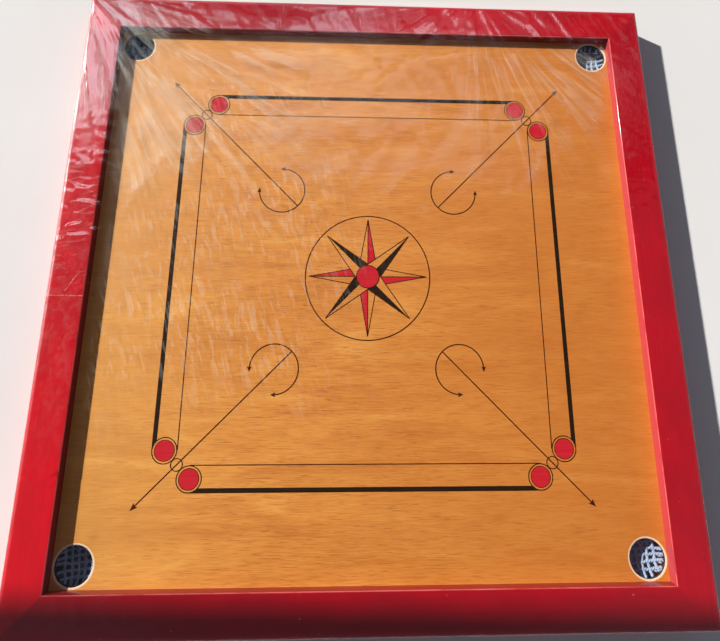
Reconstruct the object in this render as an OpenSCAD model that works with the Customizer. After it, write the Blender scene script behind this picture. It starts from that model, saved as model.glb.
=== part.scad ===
// Carrom board: mitred wooden frame, plywood playing panel with four netted
// pockets, battens underneath, and the clear packing film stretched over it.
// +Z is up, the underside of the frame is z = 0, the origin is at its centre.

/* [Playing field] */
// Side of the square playing surface, wall to wall
play_side = 740; // [720:5:760]
// Diameter of each pocket through the panel
pocket_d = 44.5; // [42:0.5:46]
// Width of the sanded rim round the top of each pocket
pocket_rim = 2; // [1:0.25:2.5]
// Depth that the sanded rim slopes down to
pocket_rim_drop = 0.6; // [0.2:0.1:1]
// Gap between a pocket's rim and the two walls beside it
pocket_gap = 0.5; // [0.5:0.25:4]

/* [Panel] */
// Thickness of the plywood playing panel
panel_t = 4; // [3.5:0.5:5]
// Clearance round the panel in its rebate
panel_clearance = 0.5; // [0.25:0.25:1]

/* [Frame] */
// Width of a rail, seen from above
rail_w = 48; // [46:1:56]
// Height of a rail
rail_h = 44; // [42:1:50]
// Height of the rails above the playing surface
rail_rise = 16; // [15:1:17]
// Width of the rebate under each rail's inner edge, which the panel lies in
rebate_w = 12; // [10:1:14]
// Radius along the outer top edge of a rail
outer_edge_r = 3; // [1:0.5:5]
// Radius along the inner top edge of a rail
inner_edge_r = 1.25; // [0.5:0.25:2]
// Radius along the bottom outer edge of a rail
foot_edge_r = 1; // [0.5:0.5:2]
// Radius of the frame's upright outer corners
corner_r = 4; // [2:0.5:6]

/* [Corner splines] */
// Length of a spline along its mitre joint
spline_l = 40; // [30:1:42]
// Width of a spline across its mitre joint
spline_w = 20; // [14:1:22]
// Thickness of a spline
spline_t = 4; // [3:0.5:5]

/* [Battens] */
// Width of a batten
batten_w = 36; // [30:1:42]
// Thickness of a batten
batten_t = 22; // [16:1:22]
// Distance of each batten's middle from the board's middle
batten_offset = 122.5; // [110:2.5:125]
// Depth of the notch in a rail that takes a batten's end
notch_d = 14; // [12:1:16]

/* [Nails, screws and tacks] */
// Shank diameter of a panel nail
nail_d = 1.6; // [1.2:0.1:2]
// Length of a panel nail
nail_l = 14; // [12:1:16]
// Distance between panel nails
nail_pitch = 100; // [90:5:100]
// Shank diameter of a batten screw
screw_d = 4; // [3:0.5:4.5]
// Length of a batten screw
screw_l = 34; // [30:1:36]
// Shank diameter of a net tack
tack_d = 1.4; // [1:0.1:1.6]
// Length of a net tack
tack_l = 4.6; // [4:0.2:4.6]

/* [Nets] */
// Depth of a net below its hem
net_depth = 13; // [10:1:15]
// Thickness of the net's cord layer
net_t = 2.4; // [2:0.2:3]
// Thickness of the canvas hem
hem_t = 1.6; // [1:0.2:2]
// Outer diameter of the canvas hem
hem_d = 64; // [60:1:66]

/* [Packing film] */
// Thickness given to the film
film_t = 0.4; // [0.3:0.1:0.6]
// Gap between the film and the frame
film_gap = 0.4; // [0.3:0.1:0.6]
// Height of the film's lower edge above the ground
film_hem_z = 2; // [1:0.5:6]

/* [Hidden] */
$fn = 96;

half_play = play_side / 2;
half_out = half_play + rail_w;
half_seat = half_play + rebate_w;
half_panel = half_seat - panel_clearance;
play_z = rail_h - rail_rise;
panel_z = play_z - panel_t;
pocket_at = half_play - pocket_gap - pocket_rim - pocket_d / 2;
mitre_mid = half_play + rail_w / 2;
spline_z = play_z + rail_rise / 2;
half_batten = half_seat + notch_d;
batten_z = panel_z - batten_t;
lap_z = batten_z + batten_t / 2;
nail_at = half_play + rebate_w / 2;
nail_margin = 40;
nail_rows = floor((half_play - nail_margin) / nail_pitch);
nail_head_d = 3.6;
nail_head_t = 0.8;
screw_at = half_seat + notch_d / 2;
screw_head_d = 2 * screw_d;
screw_slot_w = 1;
screw_slot_d = 1.2;
tack_count = 8;
tack_head_d = 4;
tack_head_t = 1;
tack_inset = 3.5;
tack_ring_r = hem_d / 2 - tack_inset;
tack_z = panel_z - hem_t;
hem_gap = 1;
hem_hole_r = pocket_d / 2 + hem_gap;
net_mouth_r = hem_hole_r + net_t;
net_rows = 10;
net_side_power = 0.5;
net_floor_power = 0.9;
point_l = 2;
point_d = 0.3;
eps = 1;

RED = [0.72, 0.07, 0.11];
AMBER = [0.82, 0.52, 0.24];
PALE_PLY = [0.86, 0.73, 0.53];
BATTEN_WOOD = [0.74, 0.58, 0.38];
NAVY = [0.13, 0.14, 0.24];
CANVAS = [0.20, 0.21, 0.30];
STEEL = [0.66, 0.66, 0.68];
CLEAR = [0.92, 0.95, 0.98, 0.25];

// ---- helpers ---------------------------------------------------------

// What is cut away to leave a convex corner of radius r, at the origin
module corner_waste(r) {
    difference() {
        square(r + eps);
        circle(r);
    }
}

// The children once for each side of the board, front side first
module on_side(i) {
    rotate([0, 0, 90 * i - 90]) children();
}

module on_every_side() {
    for (i = [0:3]) on_side(i) children();
}

// The children at one corner, the front right one first
module at_corner(i, reach) {
    rotate([0, 0, 90 * i - 45]) translate([reach * sqrt(2), 0, 0]) children();
}

// A pointed round nail, its shank from z = 0 upwards
module nail(d, length, head_d, head_t) {
    cylinder(d = d, h = length - point_l);
    translate([0, 0, length - point_l]) cylinder(d1 = d, d2 = point_d, h = point_l);
    translate([0, 0, -head_t]) cylinder(d = head_d, h = head_t);
}

// ---- fasteners -------------------------------------------------------

module panel_nail_set() {
    on_every_side()
        for (n = [-nail_rows:nail_rows])
            translate([nail_at, n * nail_pitch, panel_z])
                nail(nail_d, nail_l, nail_head_d, nail_head_t);
}

module screw_blank() {
    cylinder(d1 = screw_head_d, d2 = screw_d, h = screw_d / 2);
    cylinder(d = screw_d, h = screw_l - screw_d);
    translate([0, 0, screw_l - screw_d]) cylinder(d1 = screw_d, d2 = point_d, h = screw_d);
}

module screw_slots() {
    for (a = [0, 90])
        rotate([0, 0, a])
            translate([-screw_d / 2, -screw_slot_w / 2, -eps])
                cube([screw_d, screw_slot_w, screw_slot_d + eps]);
}

module at_every_screw() {
    on_every_side()
        for (s = [-1, 1])
            translate([screw_at, s * batten_offset, batten_z]) children();
}

module tack_ring() {
    for (n = [0:tack_count - 1])
        rotate([0, 0, (n + 0.5) * 360 / tack_count])
            translate([tack_ring_r, 0, tack_z])
                nail(tack_d, tack_l, tack_head_d, tack_head_t);
}

module tack_set() {
    for (i = [0:3]) at_corner(i, pocket_at) tack_ring();
}

// ---- frame -----------------------------------------------------------

module rail_profile() {
    difference() {
        translate([half_play, 0]) square([rail_w, rail_h]);
        translate([half_play - eps, -eps]) square([rebate_w + eps, play_z + eps]);
        translate([half_out - outer_edge_r, rail_h - outer_edge_r])
            corner_waste(outer_edge_r);
        translate([half_play + inner_edge_r, rail_h - inner_edge_r])
            mirror([1, 0]) corner_waste(inner_edge_r);
        translate([half_out - foot_edge_r, foot_edge_r])
            mirror([0, 1]) corner_waste(foot_edge_r);
    }
}

module mitre_wedge() {
    reach = half_out + eps;
    translate([0, 0, -eps])
        linear_extrude(rail_h + 2 * eps)
            polygon([[0, 0], [reach, -reach], [reach, reach]]);
}

module outer_corner_waste() {
    for (a = [0, -90])
        rotate([0, 0, a])
            translate([half_out - corner_r, half_out - corner_r, -eps])
                linear_extrude(rail_h + 2 * eps) corner_waste(corner_r);
}

module batten_notches() {
    for (s = [-1, 1])
        translate([half_seat - eps, s * batten_offset - batten_w / 2, -eps])
            cube([notch_d + eps, batten_w, panel_z + eps]);
}

module spline_blank() {
    translate([-spline_l / 2, -spline_w / 2, spline_z - spline_t / 2])
        cube([spline_l, spline_w, spline_t]);
}

module all_splines() {
    for (i = [0:3]) at_corner(i, mitre_mid) spline_blank();
}

module rail(i) {
    color(RED)
        difference() {
            on_side(i)
                difference() {
                    intersection() {
                        rotate([90, 0, 0])
                            linear_extrude(2 * half_out, center = true) rail_profile();
                        mitre_wedge();
                    }
                    outer_corner_waste();
                    batten_notches();
                }
            all_splines();
            panel_nail_set();
            at_every_screw() screw_blank();
        }
}

module spline(i) {
    color(PALE_PLY) at_corner(i, mitre_mid) spline_blank();
}

// ---- panel -----------------------------------------------------------

module pocket_cut() {
    translate([0, 0, panel_z - eps]) cylinder(d = pocket_d, h = panel_t + 2 * eps);
    translate([0, 0, play_z - pocket_rim_drop])
        cylinder(d1 = pocket_d, d2 = pocket_d + 2 * pocket_rim, h = pocket_rim_drop);
    translate([0, 0, play_z]) cylinder(d = pocket_d + 2 * pocket_rim, h = eps);
}

module playing_panel() {
    color(AMBER)
        difference() {
            translate([-half_panel, -half_panel, panel_z])
                cube([2 * half_panel, 2 * half_panel, panel_t]);
            for (i = [0:3]) at_corner(i, pocket_at) pocket_cut();
            panel_nail_set();
            tack_set();
        }
}

module panel_nails() {
    color(STEEL) panel_nail_set();
}

// ---- battens ---------------------------------------------------------

// A batten along X; its half-lap notches are cut from lap_low upwards
module batten(offset, lap_low) {
    difference() {
        translate([-half_batten, offset - batten_w / 2, batten_z])
            cube([2 * half_batten, batten_w, batten_t]);
        for (s = [-1, 1])
            translate([s * batten_offset - batten_w / 2, offset - batten_w / 2 - eps, lap_low])
                cube([batten_w, batten_w + 2 * eps, batten_t / 2 + eps]);
        at_every_screw() screw_blank();
    }
}

// Battens along X keep their upper half at the laps
module batten_across(offset) {
    color(BATTEN_WOOD) batten(offset, batten_z - eps);
}

// Battens along Y keep their lower half at the laps
module batten_along(offset) {
    color(BATTEN_WOOD) rotate([0, 0, 90]) batten(-offset, lap_z);
}

module batten_screws() {
    color(STEEL)
        at_every_screw()
            difference() {
                screw_blank();
                screw_slots();
            }
}

// ---- nets ------------------------------------------------------------

module hem(i) {
    color(CANVAS)
        difference() {
            at_corner(i, pocket_at)
                translate([0, 0, tack_z])
                    difference() {
                        cylinder(d = hem_d, h = hem_t);
                        translate([0, 0, -eps]) cylinder(r = hem_hole_r, h = hem_t + 2 * eps);
                    }
            tack_set();
        }
}

// Bag outline: steep sides that round into a nearly flat bottom
function net_point(radius, depth, a) =
    [radius * pow(cos(a), net_side_power), -depth * pow(sin(a), net_floor_power)];

module net_outline(radius, depth) {
    polygon(concat(
        [[0, eps], [radius, eps]],
        [for (n = [0:net_rows]) net_point(radius, depth, 90 * n / net_rows)]
    ));
}

module net(i) {
    color(NAVY)
        at_corner(i, pocket_at)
            translate([0, 0, tack_z])
                rotate_extrude()
                    difference() {
                        net_outline(net_mouth_r, net_depth);
                        net_outline(net_mouth_r - net_t, net_depth - net_t);
                        square([net_mouth_r + eps, 2 * eps]);
                    }
}

module net_tacks() {
    color(STEEL) tack_set();
}

// ---- packing film ----------------------------------------------------

module rounded_block(half, r, z0, z1) {
    translate([0, 0, z0])
        union() {
            translate([-half, r - half, 0]) cube([2 * half, 2 * (half - r), z1 - z0]);
            translate([r - half, -half, 0]) cube([2 * (half - r), 2 * half, z1 - z0]);
            for (x = [-1, 1], y = [-1, 1])
                translate([x * (half - r), y * (half - r), 0]) cylinder(r = r, h = z1 - z0);
        }
}

module packing_film() {
    inside = half_out + film_gap;
    inside_r = corner_r + film_gap;
    color(CLEAR)
        difference() {
            rounded_block(inside + film_t, inside_r + film_t, film_hem_z,
                          rail_h + film_gap + film_t);
            rounded_block(inside, inside_r, film_hem_z - eps, rail_h + film_gap);
        }
}

// ---- nodes -----------------------------------------------------------

rail(0);  // rail_front
rail(1);  // rail_right
rail(2);  // rail_back
rail(3);  // rail_left
spline(0);  // spline_front_right
spline(1);  // spline_back_right
spline(2);  // spline_back_left
spline(3);  // spline_front_left
playing_panel();
panel_nails();
batten_across(-batten_offset);  // batten_front
batten_across(batten_offset);  // batten_back
batten_along(-batten_offset);  // batten_left
batten_along(batten_offset);  // batten_right
batten_screws();
hem(0);  // hem_front_right
hem(1);  // hem_back_right
hem(2);  // hem_back_left
hem(3);  // hem_front_left
net(0);  // net_front_right
net(1);  // net_back_right
net(2);  // net_back_left
net(3);  // net_front_left
net_tacks();
packing_film();
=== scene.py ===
"""Looks for the carrom board: finer rails, panel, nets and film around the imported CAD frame."""

import math
import random

import bmesh
import bpy
import numpy as np
from mathutils import Matrix, Vector, noise


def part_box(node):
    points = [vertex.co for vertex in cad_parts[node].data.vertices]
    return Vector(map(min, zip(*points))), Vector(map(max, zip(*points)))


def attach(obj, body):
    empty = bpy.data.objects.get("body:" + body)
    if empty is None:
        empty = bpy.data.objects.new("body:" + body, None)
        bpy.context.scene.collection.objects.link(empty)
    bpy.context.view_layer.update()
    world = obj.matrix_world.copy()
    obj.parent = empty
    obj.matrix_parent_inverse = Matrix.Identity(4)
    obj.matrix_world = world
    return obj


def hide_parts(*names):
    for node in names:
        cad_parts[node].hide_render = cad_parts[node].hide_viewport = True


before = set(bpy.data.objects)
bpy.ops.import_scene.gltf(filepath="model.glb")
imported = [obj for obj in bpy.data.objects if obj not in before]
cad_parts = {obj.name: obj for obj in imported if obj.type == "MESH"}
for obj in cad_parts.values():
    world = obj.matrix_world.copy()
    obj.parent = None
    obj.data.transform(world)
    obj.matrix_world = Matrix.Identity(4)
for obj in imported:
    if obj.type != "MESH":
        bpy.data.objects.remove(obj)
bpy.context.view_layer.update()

# ---- sizes, in metres, from the frame ----

MM = 0.001
PANEL_LOW, PANEL_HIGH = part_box("playing_panel")
PLAY_Z = PANEL_HIGH.z
RAIL_LOW, RAIL_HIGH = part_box("rail_right")
HALF_PLAY = RAIL_LOW.x
HALF_OUT = RAIL_HIGH.x
RAIL_TOP = RAIL_HIGH.z
HALF_SEAT = PANEL_HIGH.x + 0.5 * MM
BATTEN_LOW, BATTEN_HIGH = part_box("batten_back")
NET_LOW, NET_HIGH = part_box("net_back_right")
FILM_LOW, FILM_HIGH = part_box("packing_film")
POCKET_AT = (NET_LOW.x + NET_HIGH.x) / 2
POCKETS = [(sx * POCKET_AT, sy * POCKET_AT) for sx, sy in ((1, -1), (1, 1), (-1, 1), (-1, -1))]
POCKET_R = 22.25 * MM
RIM_R = 24.25 * MM
RIM_DROP = 0.6 * MM
OUTER_EDGE_R = 3 * MM
INNER_EDGE_R = 1.25 * MM
FOOT_EDGE_R = 1 * MM
CORNER_R = 4 * MM
BODY = "board"
FILM_BODY = "film"
SIDES = ("front", "right", "back", "left")
CORNERS = ("front_right", "back_right", "back_left", "front_left")
QUARTERS = (0, 90, 180, 270)
# how deep each side's red is, and its inner face's colour, painted light and shade: dark on the
# shaded left and back faces, paler on the sunlit front and right ones
RED_DEPTHS_AND_FACE_SHADING = ((0.50, (0.30, 0.010, 0.016)), (0.51, (0.46, 0.045, 0.055)),
          (0.56, (0.20, 0.004, 0.006)), (0.74, (0.19, 0.004, 0.008)))
# places over the plan: two gathers of the film, and two lines across the left rail
CORNER_GATHER = (-HALF_OUT - 0.02, HALF_OUT + 0.02)
BACK_GATHER = (0.16, HALF_OUT + 0.03)
SEAM = ((-0.420, -0.0300), (-0.371, -0.0305))
SHARP_CREASE = ((-0.394, -0.024), (-0.379, 0.001))


# ---- making objects ----

def linked(name, data):
    """A new object in the scene."""
    made = bpy.data.objects.new(name, data)
    bpy.context.scene.collection.objects.link(made)
    return made


def mesh_of(name, bm, material=None):
    """A mesh made from a bmesh, which is freed."""
    mesh = bpy.data.meshes.new(name)
    bm.to_mesh(mesh)
    bm.free()
    if material:
        mesh.materials.append(material)
    return mesh


# ---- camera, lights and floor ----

CAMERA_PLACE = (-0.0256, -0.1253, 0.8165)
CAMERA_TILT = (16.06, -2.581, 0.045)
KEY_PLACE = (-1.41, 0.72, 1.0)
KEY_STRENGTH = 6.0
REFLECTOR_CORNERS = ((-1.8, 0.6, 1.55), (-1.8, 1.75, 1.55), (1.35, 1.75, 1.55), (1.35, 0.6, 1.55))
REFLECTOR_STRENGTH = 2.8
FLAG_OFFSET = 1.3
FLAG_SHADE = ((-0.47, -0.370), (0.47, -0.397), (0.47, -0.452), (-0.47, -0.452))
SKY_LOW, SKY_HIGH = 0.36, 0.06


def make_camera():
    data = bpy.data.cameras.new("camera")
    data.sensor_width = 36
    data.lens = 29
    data.shift_x = -0.0208
    data.shift_y = -0.1604
    eye = linked("camera", data)
    eye.location = CAMERA_PLACE
    eye.rotation_euler = [math.radians(angle) for angle in CAMERA_TILT]
    bpy.context.scene.camera = eye


def make_key():
    """The key light: low at the back left, so that the walls shade the edge of the field."""
    data = bpy.data.lights.new("key", "SUN")
    data.energy = KEY_STRENGTH
    data.color = (1.0, 0.97, 0.93)
    data.angle = math.radians(1.5)
    key = linked("key", data)
    key.location = KEY_PLACE
    key.rotation_euler = (-Vector(KEY_PLACE)).to_track_quat("-Z", "Y").to_euler()


def card(name, corners, material=None):
    """A flat card of the studio, seen by no camera."""
    bm = bmesh.new()
    bm.faces.new([bm.verts.new(corner) for corner in corners])
    made = linked(name, mesh_of(name, bm, material))
    made.visible_camera = False
    made.visible_diffuse = False
    return made


def make_reflector():
    """The bright card above the back that the film and lacquer mirror: even at its left end,
    broken into long patches elsewhere, and faded out at its edges."""
    g = Graph("reflector", "ShaderNodeEmission")
    x, y, _ = g.axes()
    patches = g.cells((2.6, 1.3, 1), 2, 0.5, 0.4)
    needed = g.range(y, 1.15, 1.42, 0.36, 0.50)
    broken = g.range(g.minus(patches, needed), 0.0, 0.16, 0.15, 1.0)
    even = g.range(x, -1.05, -0.80, 1.35, 0.0)
    bright = g.fade(g.most(broken, even),
                    (y, 0.66, 0.98), (y, 1.72, 1.45), (x, 1.34, 0.45), (x, -1.75, -1.55))
    g.put(Color=(0.80, 0.93, 1.04), Strength=g.times(bright, REFLECTOR_STRENGTH))
    card("reflector", REFLECTOR_CORNERS, g.owner).visible_shadow = False


def make_flag():
    """A card towards the key, whose soft shadow lies along the front rail."""
    offset = Vector(KEY_PLACE).normalized() * FLAG_OFFSET
    flag = card("flag", [Vector((x, y, RAIL_TOP)) + offset for x, y in FLAG_SHADE])
    flag.visible_glossy = False
    flag.visible_transmission = False


def make_world():
    """A soft surround, dim overhead and brighter towards the horizon."""
    world = bpy.data.worlds.new("studio")
    g = Graph("studio", "ShaderNodeMixShader", world)
    _, _, height = g.axes(g.node("ShaderNodeTexCoord").outputs["Generated"])
    soft = g.fill(g.node("ShaderNodeBackground"), Color=(0.87, 0.92, 1.12),
                  Strength=g.range(height, 0.0, 1.0, SKY_LOW, SKY_HIGH, smooth=False))
    seen = g.fill(g.node("ShaderNodeBackground"), Color=(0.84, 0.83, 0.81))
    g.blend(g.shader, g.node("ShaderNodeLightPath").outputs["Is Camera Ray"], soft, seen)
    bpy.context.scene.world = world
    bpy.context.scene.view_settings.view_transform = "Standard"


def make_floor():
    bm = bmesh.new()
    bmesh.ops.create_grid(bm, x_segments=1, y_segments=1, size=12)
    floor = linked("floor", mesh_of("floor", bm, floor_material()))
    floor.location.z = -0.2 * MM


# ---- material helpers ----

class Graph:
    """Short names for the nodes of one new material, or of a given world."""

    def __init__(self, name, shader="ShaderNodeBsdfPrincipled", world=None):
        self.owner = world or bpy.data.materials.new(name)
        self.owner.use_nodes = True
        self.tree = self.owner.node_tree
        self.tree.nodes.clear()
        out = self.node("ShaderNodeOutputWorld" if world else "ShaderNodeOutputMaterial")
        self.shader = self.node(shader)
        self.tree.links.new(self.shader.outputs[0], out.inputs["Surface"])
        self.place = self.node("ShaderNodeTexCoord").outputs["Object"]

    def node(self, kind, **settings):
        made = self.tree.nodes.new(kind)
        for key, value in settings.items():
            setattr(made, key, value)
        return made

    def feed(self, socket, value):
        if isinstance(value, bpy.types.NodeSocket):
            self.tree.links.new(value, socket)
        elif isinstance(value, (int, float)) or len(value) == len(socket.default_value):
            socket.default_value = value
        else:
            socket.default_value = (*value, 1)

    def fill(self, node, **sockets):
        """Feeds a node's sockets; an underscore in a name stands for a space."""
        for key, value in sockets.items():
            self.feed(node.inputs[key.replace("_", " ")], value)
        return node

    def put(self, **sockets):
        self.fill(self.shader, **sockets)

    def math(self, operation, *values):
        made = self.node("ShaderNodeMath", operation=operation)
        for socket, value in zip(made.inputs, values):
            self.feed(socket, value)
        return made.outputs[0]

    def times(self, a, b):
        return self.math("MULTIPLY", a, b)

    def minus(self, a, b):
        return self.math("SUBTRACT", a, b)

    def most(self, a, b):
        return self.math("MAXIMUM", a, b)

    def absolute(self, value):
        return self.math("ABSOLUTE", value)

    def distance(self, a, b):
        """The length of a step over the plan."""
        return self.math("SQRT", self.math("ADD", self.times(a, a), self.times(b, b)))

    def fade(self, value, *limits):
        """A value times several ranges; each is (what it goes by, where 0 is, where 1 is)."""
        for source, low, high in limits:
            value = self.times(value, self.range(source, low, high))
        return value

    def tint(self, colour, *layers):
        """A colour mixed with others; each is (what it goes by, none at, full at, amount, colour)."""
        for source, low, high, amount, towards in layers:
            colour = self.mix(self.range(source, low, high, 0.0, amount), colour, towards)
        return colour

    def reach(self):
        """How far out a point is: the larger of its two distances along X and Y."""
        x, y, _ = self.axes()
        return self.most(self.absolute(x), self.absolute(y))

    def axes(self, vector=None):
        split = self.node("ShaderNodeSeparateXYZ")
        self.feed(split.inputs[0], vector or self.place)
        return split.outputs

    def mapped(self, kind, scale, turn, shift):
        made = self.node("ShaderNodeMapping", vector_type=kind)
        return self.fill(made, Vector=self.place, Scale=scale, Rotation=(0, 0, turn),
                         Location=shift).outputs[0]

    def cells(self, scale, *settings, turn=0.0, shift=(0, 0, 0)):
        """Noise with its own scale along each axis."""
        return self.noise(self.mapped("POINT", scale, turn, shift), 1.0, *settings)

    def slanted(self, length, width, degrees, *settings, shift=(0, 0, 0)):
        """Noise whose cells are long in one direction over the plan, and narrow across it."""
        size = (length, width, width)
        return self.noise(self.mapped("TEXTURE", size, math.radians(degrees), shift), 1.0, *settings)

    def noise(self, vector, scale=1.0, detail=4.0, roughness=0.55, distortion=0.0):
        return self.fill(self.node("ShaderNodeTexNoise"), Vector=vector, Scale=scale, Detail=detail,
                         Roughness=roughness, Distortion=distortion).outputs["Fac"]

    def ramp(self, value, stops):
        """A colour ramp from (place, colour) pairs."""
        made = self.node("ShaderNodeValToRGB")
        self.feed(made.inputs["Fac"], value)
        elements = made.color_ramp.elements
        while len(elements) < len(stops):
            elements.new(0.5)
        for element, (at, colour) in zip(elements, stops):
            element.position = at
            element.color = (*colour, 1)
        return made.outputs["Color"]

    def range(self, value, low, high, to_low=0.0, to_high=1.0, smooth=True):
        made = self.node("ShaderNodeMapRange",
                         interpolation_type="SMOOTHSTEP" if smooth else "LINEAR")
        return self.fill(made, Value=value, From_Min=low, From_Max=high, To_Min=to_low,
                         To_Max=to_high).outputs["Result"]

    def mix(self, amount, a, b):
        """A mix of two colours."""
        made = self.node("ShaderNodeMix", data_type="RGBA")
        for socket, value in zip((0, 6, 7), (amount, a, b)):
            self.feed(made.inputs[socket], value)
        return made.outputs[2]

    def blend(self, mixer, amount, one, two):
        """Feeds a Mix Shader node with two shader nodes."""
        self.feed(mixer.inputs["Fac"], amount)
        self.tree.links.new(one.outputs[0], mixer.inputs[1])
        self.tree.links.new(two.outputs[0], mixer.inputs[2])

    def bump(self, height, strength, distance, normal=None):
        onto = {"Normal": normal} if normal else {}
        return self.fill(self.node("ShaderNodeBump"), Strength=strength, Distance=distance,
                         Height=height, **onto).outputs["Normal"]


def along(axis, fine, coarse):
    """A texture scale that is coarse along the grain and fine across it."""
    return (coarse, fine, fine) if axis == "x" else (fine, coarse, fine)


# ---- materials ----

def floor_material():
    g = Graph("floor")
    cloud = g.noise(g.place, 3.0)
    g.put(Base_Color=g.ramp(cloud, [(0.3, (0.68, 0.672, 0.658)), (0.7, (0.72, 0.712, 0.698))]),
          Roughness=0.9)
    return g.owner


def red_lacquer(side, axis, depth, inner_shading):
    """Red stain and lacquer over wood with its grain along one axis. Depth scales the red,
    and inner_shading is the inner face's colour: painted light and shade for that side."""
    g = Graph("red_lacquer_" + side)
    grain = g.cells(along(axis, 900, 25), 6, 0.65)
    streak = g.cells(along(axis, 160, 5), 5, 0.6, 0.3)
    cloud = g.cells(along(axis, 16, 9), 4, 0.6, 0.4)
    red = g.ramp(streak, [(0.25, (0.86 * depth, 0.001, 0.007)), (0.55, (depth, 0.002, 0.011)),
                          (0.8, (1.05 * depth, 0.003, 0.014))])
    red = g.tint(red, (cloud, 0.36, 0.66, 0.60, (0.74 * depth, 0.001, 0.008)),
                 (grain, 0.52, 0.70, 0.24, (0.6 * depth, 0.002, 0.008)))
    _, _, z = g.axes()
    reach = g.reach()
    speck = g.noise(g.place, 420.0, 3, 0.6)
    wear = g.cells(along(axis, 60, 22), 4, 0.6)
    # along the inner top edge the lacquer is rubbed thin and a painted highlight lies on it; along
    # the outer one it is nicked
    top = (z, RAIL_TOP - 1.6 * MM, RAIL_TOP - 0.4 * MM)
    rubbed_and_highlit = g.fade(g.range(wear, 0.36, 0.58, 0.25, 0.85), top,
                    (reach, HALF_PLAY + 1.6 * MM, HALF_PLAY + 0.3 * MM))
    nicked = g.fade(g.range(speck, 0.66, 0.70, 0.0, 0.8), top,
                    (reach, HALF_OUT - 3.0 * MM, HALF_OUT - 0.8 * MM))
    fleck = g.range(g.noise(g.place, 210.0, 2, 0.5), 0.765, 0.79, 0.0, 0.7)
    # the inner face takes its side's colour of painted light and shade
    inside = g.fade(1.0, (reach, HALF_PLAY + 1.0 * MM, HALF_PLAY + 0.3 * MM),
                    (z, RAIL_TOP - 0.6 * MM, RAIL_TOP - 2.2 * MM))
    red = g.mix(inside, red, inner_shading)
    # pale band on the inner top edge: worn lacquer, and a painted highlight
    red = g.mix(rubbed_and_highlit, red, (0.80, 0.16, 0.15))
    red = g.mix(g.most(nicked, fleck), red, (0.85, 0.42, 0.36))
    # bare wood with red run-over on the faces that lie on the floor
    wood = g.ramp(streak, [(0.3, (0.40, 0.24, 0.12)), (0.7, (0.56, 0.37, 0.20))])
    under = g.fade(g.range(g.noise(g.place, 30.0), 0.40, 0.52, 0.3, 1.0), (z, 0.8 * MM, 0.2 * MM))
    g.put(Base_Color=g.mix(under, red, wood),
          Roughness=g.range(cloud, 0.3, 0.7, 0.34, 0.46, smooth=False),
          Specular_IOR_Level=0.12, Coat_Weight=0.6, Coat_Roughness=0.08,
          Normal=g.bump(grain, 0.08, 0.1 * MM))
    return g.owner


def pocket_distance(g):
    """How far a point is from the middle of the nearest pocket."""
    x, y, _ = g.axes()
    return g.distance(g.minus(g.absolute(x), POCKET_AT), g.minus(g.absolute(y), POCKET_AT))


def veneer_colour(g):
    """Amber varnished veneer, grain along X: wavy bands, fibre streaks and short dark pores."""
    cloud = g.cells((3, 8, 8), 3, 0.5, 0.5)
    bands = g.cells((6, 36, 36), 3, 0.55, 0.8)
    fibre = g.cells((28, 460, 460), 4, 0.65, 0.1)
    fine = g.cells((40, 820, 820), 3, 0.6, 0.1)
    pores = g.cells((55, 800, 800), 2, 0.5, 0.1, shift=(3, 1, 0))
    dashes = g.cells((22, 520, 520), 3, 0.55, 0.1, shift=(7, 2, 0))
    colour = g.ramp(bands, [(0.28, (0.53, 0.165, 0.026)), (0.45, (0.64, 0.232, 0.039)),
                            (0.60, (0.72, 0.290, 0.053)), (0.76, (0.82, 0.390, 0.088))])
    # at the end: the veneer is palest at the left, and reddens towards the right-hand rail
    x, _, _ = g.axes()
    colour = g.tint(colour, (cloud, 0.38, 0.66, 0.50, (0.57, 0.190, 0.029)),
                    (fibre, 0.35, 0.68, 0.36, (0.80, 0.37, 0.085)),
                    (fine, 0.47, 0.66, 0.50, (0.44, 0.130, 0.017)),
                    (pores, 0.60, 0.70, 0.55, (0.34, 0.085, 0.012)),
                    (dashes, 0.64, 0.74, 0.42, (0.30, 0.070, 0.010)),
                    (x, -0.10, -HALF_PLAY, 0.42, (0.74, 0.37, 0.086)),
                    (x, -0.15, HALF_PLAY, 0.58, (0.52, 0.140, 0.017)))
    return colour, fibre, pores


def varnished_panel():
    g = Graph("varnished_panel")
    colour, fibre, pores = veneer_colour(g)
    _, _, z = g.axes()
    plies = g.node("ShaderNodeTexWave", wave_type="BANDS", bands_direction="Z")
    g.fill(plies, Scale=100.0, Distortion=0.6)
    edge = g.mix(plies.outputs["Fac"], (0.86, 0.66, 0.44), (0.70, 0.47, 0.27))
    edge = g.tint(edge, (g.noise(g.place, 500.0), 0.45, 0.65, 0.3, (0.93, 0.78, 0.58)))
    bottom = g.ramp(g.cells((8, 240, 240), 5, 0.65),
                    [(0.3, (0.50, 0.34, 0.20)), (0.7, (0.66, 0.49, 0.31))])
    gone = pocket_distance(g)
    cut = g.range(gone, RIM_R + 0.35 * MM, RIM_R + 0.05 * MM)
    below = g.range(z, PLAY_Z - 0.1 * MM, PLAY_Z - 0.4 * MM)
    colour = g.mix(below, colour, bottom)
    colour = g.mix(cut, colour, edge)
    # the bores are painted dark under their pale sanded rims
    bore = g.fade(1.0, (gone, POCKET_R + 0.3 * MM, POCKET_R + 0.1 * MM),
                  (z, PLAY_Z - RIM_DROP, PLAY_Z - RIM_DROP - 0.2 * MM))
    colour = g.mix(bore, colour, (0.035, 0.030, 0.040))
    relief = g.minus(fibre, g.times(pores, 0.5))
    g.put(Base_Color=colour,
          Roughness=g.mix(g.most(cut, below), (0.42, 0.42, 0.42), (0.8, 0.8, 0.8)),
          Specular_IOR_Level=0.35, Coat_Weight=0.08, Coat_Roughness=0.2,
          Normal=g.bump(relief, 0.12, 0.1 * MM))
    return g.owner


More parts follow.
